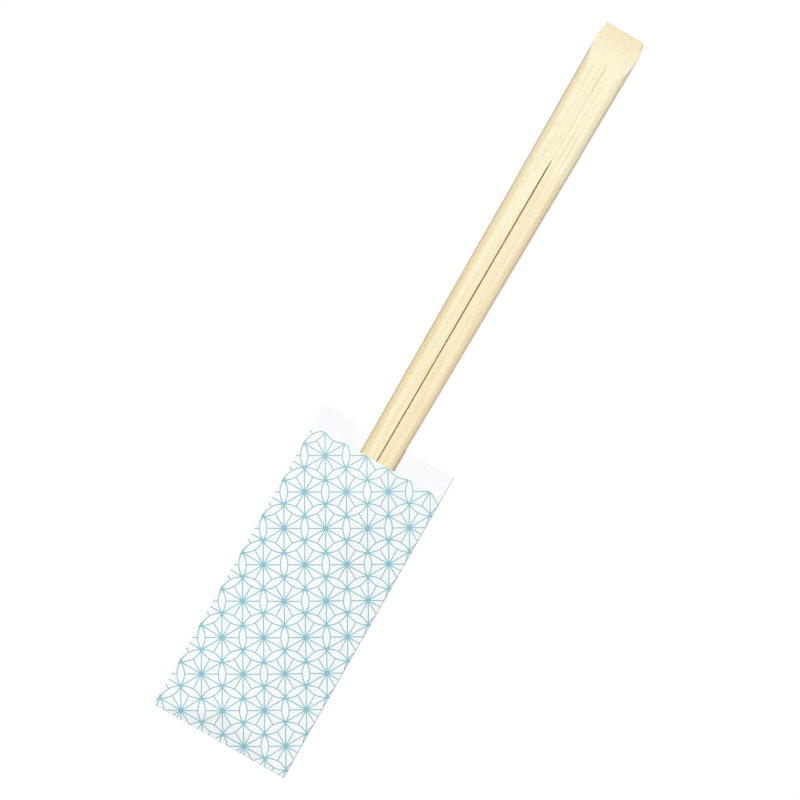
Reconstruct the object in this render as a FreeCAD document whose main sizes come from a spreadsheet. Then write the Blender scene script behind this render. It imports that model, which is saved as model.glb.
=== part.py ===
import FreeCAD, Part
import math
import os
import Sketcher

# A pair of disposable bamboo chopsticks, still joined at the head, in a short sleeve of thin paper.
#
# The sticks are one tapered blank with oval sides. Its head is planed down on a slant, a score line
# runs along the middle of both faces, and a saw cut parts the rest of the blank as far as the tips.
# The sleeve is one sheet folded into a flat bag: a front panel, two side folds, a back panel closed
# by a glued lap seam, and a bottom flap glued to the back. The front panel is cut shorter than the
# back and lies over the sticks like a tent, so the bag draws in a little where it is lifted.
#
# The frame: +Y runs along the sticks to the head, +Z is up and the sleeve lies on Z = 0. The origin
# is under the middle of the whole. Lengths are in millimetres, angles in degrees.

SIZES = {
    # the joined sticks
    "stick_length": 240.0,      # head end to tips
    "head_width": 14.7,         # both sticks together
    "tip_width": 10.0,
    "head_height": 4.8,
    "tip_height": 4.0,
    "head_side": 3.0,           # width of the rounded side beside the flat faces
    "tip_side": 2.3,
    "head_nose": 1.6,           # radius of the side at half height
    "tip_nose": 1.4,
    "tip_break": 0.4,           # chamfer round the end of the tips
    # the slanted head
    "slope_length": 13.7,
    "head_lip": 0.9,            # thickness left at the head end
    "slope_blend": 25.0,        # radius that eases the slope into the top face
    "slope_exit": 3.0,          # angle at which that radius meets the top face
    "corner_round": 1.9,        # the one worn corner of the head, seen from above
    # the score line and the saw cut
    "score_width": 0.4,
    "score_depth": 0.16,
    "slit_start": 44.9,         # from the head end, on the top face
    "slit_width": 0.32,
    "saw_radius": 60.0,
    "saw_reach": 2.0,           # how far the saw dips below the blank
    # the paper sleeve
    "sleeve_width": 45.7,       # of the bag laid flat and empty
    "front_length": 97.8,
    "back_lip": 7.4,            # the back panel stands this far past the front edge
    "paper": 0.1,
    "lap_width": 9.0,
    "flap_length": 10.0,
    "flap_inset": 1.5,          # the flap narrows by this on each side
    "fold_gap": 0.1,            # between the two layers beside a fold
    # how the sticks lie in the sleeve
    "tip_gap": 8.7,             # from the tips to the bottom fold
    "sleeve_skew": 0.5,         # the sleeve's turn against the sticks, seen from above
    "mouth_shift": 0.35,        # the sticks lie this far left of the sleeve's middle at the mouth
    "paper_ease": 0.05,         # between the sticks' top and the paper over them
    "shoulder_ease": 0.6,       # the paper bends this far outside the sticks' flat top
    "tip_ease": 0.4,            # past the tips, before the paper drops to the bottom fold
    # how far a cutting shape reaches outside the piece it cuts
    "overcut": 1.0,
}

# What follows from the sizes: each line is a formula of the second sheet.
WORKED = {
    # oval section of the blank, at the head and at the tips
    "head_flat": "Sizes.head_width / 2 - Sizes.head_side",
    "head_run": "Sizes.head_side - Sizes.head_nose",
    "head_round": "(head_run ^ 2 + Sizes.head_height ^ 2 / 4 - Sizes.head_nose ^ 2)"
                  " / (Sizes.head_height - 2 * Sizes.head_nose)",
    "head_join": "head_flat + head_round * head_run / (head_round - Sizes.head_nose)",
    "head_join_low": "head_round - head_round * (head_round - Sizes.head_height / 2)"
                     " / (head_round - Sizes.head_nose)",
    "head_join_top": "Sizes.head_height - head_join_low",
    "tip_flat": "Sizes.tip_width / 2 - Sizes.tip_side",
    "tip_run": "Sizes.tip_side - Sizes.tip_nose",
    "tip_round": "(tip_run ^ 2 + Sizes.tip_height ^ 2 / 4 - Sizes.tip_nose ^ 2)"
                 " / (Sizes.tip_height - 2 * Sizes.tip_nose)",
    "tip_join": "tip_flat + tip_round * tip_run / (tip_round - Sizes.tip_nose)",
    "tip_join_low": "tip_round - tip_round * (tip_round - Sizes.tip_height / 2)"
                    " / (tip_round - Sizes.tip_nose)",
    "tip_join_top": "Sizes.tip_height - tip_join_low",
    # profile of the slope, seen from the side; the top face falls gently towards the tips
    "top_fall": "(Sizes.head_height - Sizes.tip_height) / Sizes.stick_length",
    "over_head": "Sizes.head_height + Sizes.overcut",
    "slope_top": "Sizes.head_height - top_fall * Sizes.slope_length",
    "slope_grade": "(slope_top - Sizes.head_lip) / Sizes.slope_length",
    "slope_cos": "1 / sqrt(1 + slope_grade ^ 2)",
    "slope_rise": "Sizes.slope_blend * (cos(Sizes.slope_exit * 1deg) - slope_cos)",
    "slope_run": "Sizes.slope_blend * (slope_grade * slope_cos - sin(Sizes.slope_exit * 1deg))",
    "slope_foot": "Sizes.head_lip - slope_grade * Sizes.overcut",
    "blend_low": "slope_top - slope_rise",
    "blend_start": "Sizes.slope_length - slope_rise / slope_grade",
    "blend_end": "blend_start + slope_run",
    # score line, whose groove is drawn open past the face that it is cut in
    "score_half": "Sizes.score_width / 2 * (1 + Sizes.overcut / Sizes.score_depth)",
    "score_floor": "slit_top - Sizes.score_depth",
    "score_open": "slit_top + Sizes.overcut",
    # saw cut, whose end is the edge of the saw's disc
    "slit_top": "Sizes.head_height - top_fall * Sizes.slit_start",
    "saw_height": "Sizes.saw_radius - Sizes.saw_reach",
    "saw_back": "Sizes.slit_start + sqrt(Sizes.saw_radius ^ 2 - (saw_height - slit_top) ^ 2)",
    "saw_upper": "saw_back - sqrt(Sizes.saw_radius ^ 2 - (saw_height - over_head) ^ 2)",
    "saw_lower": "saw_back - sqrt(Sizes.saw_radius ^ 2 - (saw_height + Sizes.overcut) ^ 2)",
    "saw_under": "saw_back - sqrt(Sizes.saw_radius ^ 2 - saw_height ^ 2)",
    "past_tips": "Sizes.stick_length + Sizes.overcut",
    # worn corner
    "corner_inner": "Sizes.head_width / 2 - Sizes.corner_round",
    "corner_side": "Sizes.head_width / 2",
    "corner_outer": "Sizes.head_width / 2 + Sizes.overcut",
    # the sticks where the front panel's edge crosses them
    "stick_show": "Sizes.stick_length + Sizes.tip_gap - Sizes.front_length",
    "show_share": "stick_show / Sizes.stick_length",
    "mouth_height": "Sizes.head_height + (Sizes.tip_height - Sizes.head_height) * show_share",
    "mouth_flat": "head_flat + (tip_flat - head_flat) * show_share",
    # layers of paper, from the floor up
    "floor_top": "2 * Sizes.paper",
    "fold_low": "floor_top + Sizes.fold_gap",
    "fold_top": "fold_low + Sizes.paper",
    # stations along the sleeve, from its bottom fold
    "tip_station": "Sizes.tip_gap - Sizes.tip_ease",
    "back_length": "Sizes.front_length + Sizes.back_lip",
    "sleeve_middle": "back_length / 2",
    # the front panel over the sticks: its height, where it bends, and how far the bag draws in
    "mouth_low": "floor_top + mouth_height + Sizes.paper_ease",
    "mouth_top": "mouth_low + Sizes.paper",
    "mouth_bend": "mouth_flat + Sizes.shoulder_ease",
    "mouth_slack": "Sizes.sleeve_width - 2 * mouth_bend",
    "mouth_half": "mouth_bend + (mouth_slack ^ 2 - (mouth_top - fold_top) ^ 2) / (2 * mouth_slack)",
    "end_low": "floor_top + Sizes.tip_height + Sizes.paper_ease",
    "end_top": "end_low + Sizes.paper",
    "end_bend": "tip_flat + Sizes.shoulder_ease",
    "end_slack": "Sizes.sleeve_width - 2 * end_bend",
    "end_half": "end_bend + (end_slack ^ 2 - (end_top - fold_top) ^ 2) / (2 * end_slack)",
    "flat_half": "Sizes.sleeve_width / 2",
    "mouth_inner": "mouth_half - Sizes.paper",
    "end_inner": "end_half - Sizes.paper",
    "flat_inner": "flat_half - Sizes.paper",
    # the sticks' line in the sleeve, which the bends follow
    "skew_grade": "tan(Sizes.sleeve_skew * 1deg)",
    "mouth_left": "-Sizes.mouth_shift - mouth_bend",
    "mouth_right": "-Sizes.mouth_shift + mouth_bend",
    "end_shift": "Sizes.mouth_shift + (Sizes.front_length - tip_station) * skew_grade",
    "end_left": "-end_shift - end_bend",
    "end_right": "-end_shift + end_bend",
    "bottom_shift": "Sizes.mouth_shift + Sizes.front_length * skew_grade",
    "bottom_left": "-bottom_shift - end_bend",
    "bottom_right": "-bottom_shift + end_bend",
    "flap_half": "flat_half - Sizes.flap_inset",
    "lap_half": "Sizes.lap_width / 2",
    # places in the common frame
    "overall": "stick_show + Sizes.front_length",
    "stick_x": "-(Sizes.front_length - sleeve_middle) * sin(Sizes.sleeve_skew * 1deg)"
               " - Sizes.mouth_shift",
    "stick_y": "overall / 2",
    "sleeve_x": "sleeve_middle * sin(Sizes.sleeve_skew * 1deg)",
    "sleeve_y": "overall / 2 - stick_show"
                " - Sizes.front_length * cos(Sizes.sleeve_skew * 1deg)",
}

TOUCHING = 1e-4                 # points this close are taken as one

doc = FreeCAD.newDocument("chopsticks")


def fill_sheet(name, cells, mark):
    """A sheet with one alias for each row; mark comes before each cell's text."""
    sheet = doc.addObject("Spreadsheet::Sheet", name)
    for row, (alias, content) in enumerate(cells.items(), start=1):
        sheet.set(f"A{row}", alias)
        sheet.set(f"B{row}", f"{mark}{content}")
        sheet.setAlias(f"B{row}", alias)
    doc.recompute()
    return sheet


sizes = fill_sheet("Sizes", SIZES, "")
worked = fill_sheet("Worked", WORKED, "=")


def cell(name):
    """The full name of a size, with its sign if it has one, for an expression."""
    sign = "-" if name.startswith("-") else ""
    alias = name.lstrip("-")
    sheet = "Sizes" if alias in SIZES else "Worked"
    return f"{sign}{sheet}.{alias}"


def number(name):
    """The value of a size as a plain number."""
    if name == "0":
        return 0.0
    alias = name.lstrip("-")
    sheet = sizes if alias in SIZES else worked
    found = sheet.get(alias)
    plain = found.Value if hasattr(found, "Value") else float(found)
    return -plain if name.startswith("-") else plain


def new_body(name):
    """An empty body, whose label names the piece."""
    body = doc.addObject("PartDesign::Body", name)
    body.Label = name
    return body


def new_sketch(body, name, plane, offset=None):
    """A sketch on one of the body's own planes, moved along its normal by a size."""
    sketch = body.newObject("Sketcher::SketchObject", name)
    sketch.Label = name
    support = next(f for f in body.Origin.OriginFeatures if f.Role == plane)
    sketch.AttachmentSupport = [(support, "")]
    sketch.MapMode = "FlatFace"
    if offset not in (None, "0"):
        sketch.setExpression("AttachmentOffset.Base.z", cell(offset))
    return sketch


def round_stretch(start, end, radius, side):
    """The short arc from start to end; side is 1 if it bulges to the right of the way there."""
    chord = end - start
    rightward = FreeCAD.Vector(chord.y, -chord.x, 0).normalize()
    depth = (radius ** 2 - (chord.Length / 2) ** 2) ** 0.5
    centre = (start + end) / 2 - rightward * (depth * side)
    first, last = (start, end) if side > 0 else (end, start)
    turn = [math.atan2(place.y - centre.y, place.x - centre.x) for place in (first, last)]
    circle = Part.Circle(centre, FreeCAD.Vector(0, 0, 1), radius)
    return Part.ArcOfCircle(circle, turn[0], turn[1])


def outline(sketch, corners, arcs=None, closed=True):
    """Draws from corner to corner, with each corner's place bound to its two sizes.

    arcs says which stretches are round: the number of the corner where one starts, with its
    radius and the side that it bulges to.
    """
    arcs = arcs or {}
    places = [FreeCAD.Vector(number(x), number(y), 0) for x, y in corners]
    count = len(corners) if closed else len(corners) - 1
    ends = []
    planned = []
    for i in range(count):
        start, end = places[i], places[(i + 1) % len(places)]
        if i in arcs:
            radius, side = arcs[i]
            stretch = sketch.addGeometry(round_stretch(start, end, number(radius), side), False)
            planned.append((Sketcher.Constraint("Radius", stretch, number(radius)), radius))
            ends.append((stretch, 1, 2) if side > 0 else (stretch, 2, 1))
        else:
            stretch = sketch.addGeometry(Part.LineSegment(start, end), False)
            ends.append((stretch, 1, 2))
    for i in range(count if closed else count - 1):
        stretch, _, finish = ends[i]
        following, begin, _ = ends[(i + 1) % count]
        joint = Sketcher.Constraint("Coincident", stretch, finish, following, begin)
        planned.append((joint, None))
    for i, corner in enumerate(corners):
        stretch, point = ends[i][:2] if i < count else (ends[-1][0], ends[-1][2])
        for kind, size in zip(("DistanceX", "DistanceY"), corner):
            place = Sketcher.Constraint(kind, -1, 1, stretch, point, number(size))
            planned.append((place, size))
    sketch.addConstraint([constraint for constraint, _ in planned])
    for index, (_, size) in enumerate(planned):
        if size not in (None, "0"):
            sketch.setExpression(f"Constraints[{index}]", cell(size))
    return sketch


def loft(body, name, kind, sections):
    """A skin drawn straight from section to section, added to the body or taken from it."""
    feature = body.newObject(f"PartDesign::{kind}", name)
    feature.Profile = sections[0]
    feature.Sections = sections[1:]
    feature.Ruled = True
    doc.recompute()
    return feature


def pad(body, name, sketch, height):
    """A sketch raised by a size."""
    feature = body.newObject("PartDesign::Pad", name)
    feature.Profile = sketch
    feature.setExpression("Length", cell(height))
    doc.recompute()
    return feature


def check_cut(feature, before):
    """A cut that points away from the solid shows no error, so its volume is compared."""
    doc.recompute()
    if feature.Shape.isNull() or feature.Shape.Volume >= before:
        raise RuntimeError(f"{feature.Label} cuts nothing")


def pocket(body, name, sketch, width=None, backwards=False):
    """A cut from a sketch: right through both ways, or as wide or as long as a size says."""
    before = body.Tip.Shape.Volume
    feature = body.newObject("PartDesign::Pocket", name)
    feature.Profile = sketch
    if width:
        feature.Type = "Length"
        feature.setExpression("Length", cell(width))
    else:
        feature.Type = "ThroughAll"
    feature.Midplane = not backwards
    feature.Reversed = backwards
    check_cut(feature, before)


def groove(body, name, section, line, stretches):
    """A cut whose section is carried along a line of so many stretches."""
    before = body.Tip.Shape.Volume
    feature = body.newObject("PartDesign::SubtractivePipe", name)
    feature.Profile = section
    feature.Spine = (line, [f"Edge{number}" for number in range(1, stretches + 1)])
    check_cut(feature, before)


def chamfer_end(body, name, far_end, size):
    """Breaks the edges that lie in the body's end face, at a distance along -Y."""
    shape = body.Tip.Shape
    inside = -number(far_end) + TOUCHING
    edges = [
        f"Edge{index}" for index, edge in enumerate(shape.Edges, start=1)
        if edge.BoundBox.YMax < inside
    ]
    base = body.Tip
    feature = body.newObject("PartDesign::Chamfer", name)
    feature.Base = (base, edges)
    feature.setExpression("Size", cell(size))
    check_cut(feature, shape.Volume)


def oval_section(body, end, offset=None):
    """The blank's section at one end: flat faces, eased shoulders and a round nose on each side."""
    flat, join = f"{end}_flat", f"{end}_join"
    low, top, height = f"{end}_join_low", f"{end}_join_top", f"{end}_height"
    corners = [
        (f"-{flat}", height), (flat, height), (join, top), (join, low),
        (flat, "0"), (f"-{flat}", "0"), (f"-{join}", low), (f"-{join}", top),
    ]
    shoulder, nose = (f"{end}_round", -1), (f"{end}_nose", -1)
    arcs = {1: shoulder, 2: nose, 3: shoulder, 5: shoulder, 6: nose, 7: shoulder}
    return outline(new_sketch(body, f"{end}_section", "XZ_Plane", offset), corners, arcs)


def build_sticks():
    """One planed blank: sloped at the head, scored on both faces and sawn in two to the tips."""
    body = new_body("chopstick_pair")
    loft(body, "blank", "AdditiveLoft", [
        oval_section(body, "head"),
        oval_section(body, "tip", "stick_length"),
    ])
    chamfer_end(body, "tip_edges", "stick_length", "tip_break")

    slope = outline(new_sketch(body, "slope_side", "YZ_Plane"), [
        ("overcut", "slope_foot"), ("-blend_start", "blend_low"), ("-blend_end", "slope_top"),
        ("-blend_end", "over_head"), ("overcut", "over_head"),
    ], {1: ("slope_blend", 1)})
    pocket(body, "sloped_head", slope)

    corner = outline(new_sketch(body, "corner_plan", "XY_Plane"), [
        ("corner_inner", "0"), ("corner_side", "-corner_round"), ("corner_outer", "-corner_round"),
        ("corner_outer", "overcut"), ("corner_inner", "overcut"),
    ], {0: ("corner_round", -1)})
    pocket(body, "worn_corner", corner)

    saw = outline(new_sketch(body, "saw_side", "YZ_Plane"), [
        ("-saw_upper", "over_head"), ("-saw_lower", "-overcut"),
        ("-past_tips", "-overcut"), ("-past_tips", "over_head"),
    ], {0: ("saw_radius", -1)})
    pocket(body, "saw_cut", saw, "slit_width")

    along_top = outline(new_sketch(body, "score_line", "YZ_Plane"), [
        ("-slit_start", "slit_top"), ("-blend_end", "slope_top"), ("-blend_start", "blend_low"),
    ], {1: ("slope_blend", -1)}, closed=False)
    top_section = outline(new_sketch(body, "top_section", "XZ_Plane", "slit_start"), [
        ("-score_half", "score_open"), ("score_half", "score_open"), ("0", "score_floor"),
    ])
    groove(body, "top_score", top_section, along_top, stretches=2)

    under_section = outline(new_sketch(body, "under_section", "XZ_Plane"), [
        ("-score_half", "-overcut"), ("score_half", "-overcut"), ("0", "score_depth"),
    ])
    pocket(body, "under_score", under_section, "saw_under", backwards=True)
    return body


def bag_sections(body, face, stations):
    """The sections of the bag's outer or inner face, from the bottom fold to the mouth.

    Each is flat below, has a fold at each side and bends twice over the sticks. Its station gives
    its name, distance from the bottom fold, half width, floor, fold height, the place of its
    bends, and the height there.
    """
    sections = []
    for name, distance, half, floor, fold, bends, ridge in stations:
        corners = [
            (f"-{half}", floor), (half, floor), (half, fold),
            (f"{bends}_right", ridge), (f"{bends}_left", ridge), (f"-{half}", fold),
        ]
        sketch = new_sketch(body, f"{name}_{face}", "XZ_Plane", distance)
        sections.append(outline(sketch, corners))
    return sections


def build_sleeve():
    """One sheet: the bag and the room inside it, the back's lip, and the glued lap and flap."""
    body = new_body("paper_sleeve")
    loft(body, "folded_bag", "AdditiveLoft", bag_sections(body, "outside", [
        ("bottom", "0", "flat_half", "paper", "fold_top", "bottom", "fold_top"),
        ("end", "-tip_station", "end_half", "paper", "fold_top", "end", "end_top"),
        ("mouth", "-front_length", "mouth_half", "paper", "fold_top", "mouth", "mouth_top"),
    ]))
    loft(body, "room_inside", "SubtractiveLoft", bag_sections(body, "inside", [
        ("bottom", "-paper", "flat_inner", "floor_top", "fold_low", "bottom", "fold_low"),
        ("end", "-tip_station", "end_inner", "floor_top", "fold_low", "end", "end_low"),
        ("mouth", "-front_length", "mouth_inner", "floor_top", "fold_low", "mouth", "mouth_low"),
    ]))

    lip = outline(new_sketch(body, "lip_plan", "XY_Plane", "paper"), [
        ("-mouth_half", "front_length"), ("mouth_half", "front_length"),
        ("mouth_half", "back_length"), ("-mouth_half", "back_length"),
    ])
    pad(body, "back_lip", lip, "paper")

    glued = outline(new_sketch(body, "glued_plan", "XY_Plane"), [
        ("-flat_half", "0"), ("flat_half", "0"), ("flap_half", "flap_length"),
        ("lap_half", "flap_length"), ("lap_half", "back_length"), ("-lap_half", "back_length"),
        ("-lap_half", "flap_length"), ("-flap_half", "flap_length"),
    ])
    pad(body, "lap_and_flap", glued, "paper")
    return body


def place(body, along_x, along_y, height=None, turn=None):
    """Stands a body in the common frame, turned about the vertical if an angle is given."""
    if turn:
        upright = FreeCAD.Vector(0, 0, 1)
        rotation = FreeCAD.Rotation(upright, number(turn))
        body.Placement = FreeCAD.Placement(FreeCAD.Vector(), rotation)
        body.setExpression("Placement.Rotation.Angle", f"{cell(turn)} * 1deg")
    body.setExpression("Placement.Base.x", cell(along_x))
    body.setExpression("Placement.Base.y", cell(along_y))
    if height:
        body.setExpression("Placement.Base.z", cell(height))


sticks = build_sticks()
place(sticks, "stick_x", "stick_y", height="floor_top")
sleeve = build_sleeve()
place(sleeve, "sleeve_x", "sleeve_y", turn="sleeve_skew")
doc.recompute()

for item in doc.Objects:
    if "Invalid" in item.State or "Error" in item.State:
        raise RuntimeError(f"{item.Label} is not built")
for body in (sticks, sleeve):
    if body.Shape.isNull() or not body.Shape.isValid():
        raise RuntimeError(f"{body.Label} has no valid shape")

os.makedirs("parts", exist_ok=True)
for body in (sticks, sleeve):
    body.Shape.exportStep(f"parts/{body.Label}.step")
    print(f"{body.Label}: {body.Shape.Volume:.1f} cubic mm")
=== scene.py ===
"""Bamboo chopsticks in a printed paper sleeve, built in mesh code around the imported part."""

import logging
import math
from dataclasses import astuple, dataclass, field
from enum import Enum
from typing import Any, Optional, Sequence, Union

import bmesh
import bpy
import numpy as np
from mathutils import Matrix


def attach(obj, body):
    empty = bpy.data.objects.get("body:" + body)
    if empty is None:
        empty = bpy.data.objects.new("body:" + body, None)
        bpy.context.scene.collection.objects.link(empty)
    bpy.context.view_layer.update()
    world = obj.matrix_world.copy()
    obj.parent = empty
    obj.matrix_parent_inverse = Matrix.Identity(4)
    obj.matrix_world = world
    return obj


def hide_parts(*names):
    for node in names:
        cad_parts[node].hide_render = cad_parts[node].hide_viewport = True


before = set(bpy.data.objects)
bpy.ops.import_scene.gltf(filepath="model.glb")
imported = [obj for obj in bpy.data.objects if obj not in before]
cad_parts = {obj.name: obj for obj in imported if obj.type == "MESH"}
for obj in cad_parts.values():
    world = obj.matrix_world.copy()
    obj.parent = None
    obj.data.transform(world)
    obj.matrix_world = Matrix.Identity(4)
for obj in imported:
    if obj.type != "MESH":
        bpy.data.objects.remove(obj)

LOG = logging.getLogger("chopsticks")
MM = 0.001
BODY = "root"
Colour = tuple[float, float, float, float]
Point = tuple[float, float]
Span = tuple[float, float]
Waves = tuple[tuple[float, float, float], ...]
WHITE: Colour = (1.0, 1.0, 1.0, 1.0)


def srgb(red: float, green: float, blue: float) -> Colour:
    """Turns a screen colour into the linear colour that a shader takes.

    Args:
        red: Red from 0 to 255.
        green: Green from 0 to 255.
        blue: Blue from 0 to 255.

    Returns:
        The linear colour with an alpha of 1.
    """
    levels = (red / 255, green / 255, blue / 255)
    linear = [v / 12.92 if v <= 0.04045 else ((v + 0.055) / 1.055) ** 2.4 for v in levels]
    return (*linear, 1.0)


def mix(low: float, high: float, share: float) -> float:
    """The value that lies this share of the way from low to high."""
    return low + (high - low) * share


def ease(low: float, high: float, value: float) -> float:
    """Rises smoothly from 0 at low to 1 at high."""
    share = min(max((value - low) / (high - low), 0.0), 1.0)
    return share * share * (3 - 2 * share)


def soft_min(first: float, second: float, width: float) -> float:
    """The smaller of two values, rounded where they are closer together than width."""
    near = max(width - abs(first - second), 0.0) / width
    return min(first, second) - near * near * width / 4


def taken_off(radius: float, along: float) -> float:
    """How much a rounding of this radius takes off, this far along from where it starts."""
    out = min(max(radius - along, 0.0), radius)
    return radius - math.sqrt(radius ** 2 - out ** 2)


def placed(name: str, data: Any) -> bpy.types.Object:
    """Puts a mesh, a lamp or a camera in the scene.

    Args:
        name: The object's name.
        data: What it shows.

    Returns:
        The object.
    """
    item = bpy.data.objects.new(name, data)
    bpy.context.scene.collection.objects.link(item)
    return item


# Shading: typed sockets, node trees and the finishes


@dataclass(frozen=True)
class Signal:
    """A number that varies over a surface: an output socket on which Python's operators work."""

    tree: "Tree"
    socket: bpy.types.NodeSocket

    def __add__(self, other: "Number") -> "Signal":
        """Self plus other."""
        return self.tree.math("ADD", self, other)

    def __sub__(self, other: "Number") -> "Signal":
        """Self minus other."""
        return self.tree.math("SUBTRACT", self, other)

    def __rsub__(self, other: "Number") -> "Signal":
        """Other minus self."""
        return self.tree.math("SUBTRACT", other, self)

    def __mul__(self, other: "Number") -> "Signal":
        """Self times other."""
        return self.tree.math("MULTIPLY", self, other)

    def __lt__(self, other: "Number") -> "Signal":
        """1 where self is less than other, else 0."""
        return self.tree.math("LESS_THAN", self, other)

    def __abs__(self) -> "Signal":
        """The size of self, without its sign."""
        return self.tree.math("ABSOLUTE", self)

    def root(self) -> "Signal":
        """The square root of self, taken as 0 below 0."""
        return self.tree.math("SQRT", self.most(0.0))

    def most(self, other: "Number") -> "Signal":
        """The larger of self and other."""
        return self.tree.math("MAXIMUM", self, other)

    def least(self, other: "Number") -> "Signal":
        """The smaller of self and other."""
        return self.tree.math("MINIMUM", self, other)

    def reach(self, other: "Signal") -> "Signal":
        """The length of a step of self one way and of other at a right angle to it."""
        return (self * self + other * other).root()

    def fold(self, half: float) -> "Signal":
        """A wave that runs up and down between 0 and half as self grows."""
        return self.tree.math("PINGPONG", self, half)

    def over(self, low: float, high: float) -> "Signal":
        """Rises smoothly from 0 at low to 1 at high.

        Args:
            low: The value that gives 0.
            high: The value that gives 1; it may be below low.

        Returns:
            The eased share, from 0 to 1.
        """
        falls = high < low
        node = self.tree.add(
            "MapRange",
            {"interpolation_type": "SMOOTHSTEP"},
            {"Value": self, "From Min": min(low, high), "From Max": max(low, high),
             "To Min": float(falls), "To Max": float(not falls)},
        )
        return Signal(self.tree, node.outputs["Result"])


Number = Union[Signal, bpy.types.NodeSocket, float]


@dataclass(frozen=True)
class Grain:
    """Noise: its waves per millimetre three ways, how many finer layers it has and their share."""

    scale: tuple[float, float, float]
    detail: float
    rough: float


@dataclass(frozen=True)
class Tone:
    """What a colour is multiplied by, and the span of a value over which that comes on."""

    colour: Colour
    span: Span


class Tree:
    """One node tree, and the calls that put nodes in it."""

    def __init__(self, owner: Union[bpy.types.Material, bpy.types.World]) -> None:
        """Empties the tree of a material or a world.

        Args:
            owner: The material or world.
        """
        owner.use_nodes = True
        self.nodes = owner.node_tree.nodes
        self.links = owner.node_tree.links
        self.nodes.clear()

    def add(self, kind: str, settings: Optional[dict[str, Any]] = None,
            inputs: Optional[dict[Union[str, int], Any]] = None) -> bpy.types.Node:
        """Adds a node.

        Args:
            kind: The node's type, without the ShaderNode in front.
            settings: Its properties, which are set first.
            inputs: What each socket gets: a Signal, an output socket or a plain value.

        Returns:
            The node.
        """
        node = self.nodes.new("ShaderNode" + kind)
        for name, value in (settings or {}).items():
            setattr(node, name, value)
        for key, value in (inputs or {}).items():
            source = value.socket if isinstance(value, Signal) else value
            if isinstance(source, bpy.types.NodeSocket):
                self.links.new(source, node.inputs[key])
            else:
                node.inputs[key].default_value = source
        return node

    def math(self, operation: str, *values: Number) -> Signal:
        """Adds a Math node with these inputs, in order, and gives its result."""
        node = self.add("Math", {"operation": operation}, dict(enumerate(values)))
        return Signal(self, node.outputs[0])

    def blend(self, share: Number, low: Any, high: Any, mode: str = "MIX") -> bpy.types.NodeSocket:
        """Mixes two colours.

        Args:
            share: How much of the second colour there is.
            low: The first colour.
            high: The second colour.
            mode: How the second goes onto the first.

        Returns:
            The mixed colour.
        """
        node = self.add(
            "Mix",
            {"data_type": "RGBA", "blend_type": mode, "clamp_factor": True},
            {"Factor": share, 6: low, 7: high},
        )
        return node.outputs[2]

    def scaled(self, vector: bpy.types.NodeSocket, scale: Sequence[float]) -> bpy.types.NodeSocket:
        """Multiplies a vector by three fixed numbers."""
        node = self.add("VectorMath", {"operation": "MULTIPLY"}, {0: vector, 1: scale})
        return node.outputs[0]

    def split(self, vector: bpy.types.NodeSocket) -> tuple[Signal, Signal, Signal]:
        """The three numbers of a vector."""
        node = self.add("SeparateXYZ", inputs={"Vector": vector})
        return tuple(Signal(self, output) for output in node.outputs)

    def noise(self, vector: bpy.types.NodeSocket, grain: Grain) -> Signal:
        """Smooth noise.

        Args:
            vector: The place, in millimetres.
            grain: Its kind.

        Returns:
            A value near a half, mostly from 0.3 to 0.7.
        """
        node = self.add(
            "TexNoise",
            inputs={"Vector": self.scaled(vector, grain.scale), "Scale": 1.0,
                    "Detail": grain.detail, "Roughness": grain.rough},
        )
        return Signal(self, node.outputs["Fac"])

    def place(self) -> bpy.types.NodeSocket:
        """The place on the object, in millimetres."""
        node = self.add("TexCoord")
        return self.scaled(node.outputs["Object"], (1 / MM,) * 3)

    def stored(self, name: str) -> Signal:
        """The value of this name that the mesh holds at each of its points."""
        node = self.add("Attribute", {"attribute_name": name})
        return Signal(self, node.outputs["Fac"])

    def surface(self, colour: Any, roughness: Number, height: Signal, bump: float,
                shine: float) -> None:
        """Ends the tree in one shader.

        Args:
            colour: The base colour.
            roughness: The roughness.
            height: The height of the fine relief, in millimetres.
            bump: How strongly that relief shows.
            shine: The specular level.
        """
        relief = self.add("Bump", inputs={"Height": height, "Distance": MM, "Strength": bump})
        shader = self.add("BsdfPrincipled", inputs={
            "Base Color": colour, "Roughness": roughness, "Specular IOR Level": shine,
            "Normal": relief.outputs["Normal"],
        })
        self.add("OutputMaterial", inputs={"Surface": shader.outputs[0]})


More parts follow.
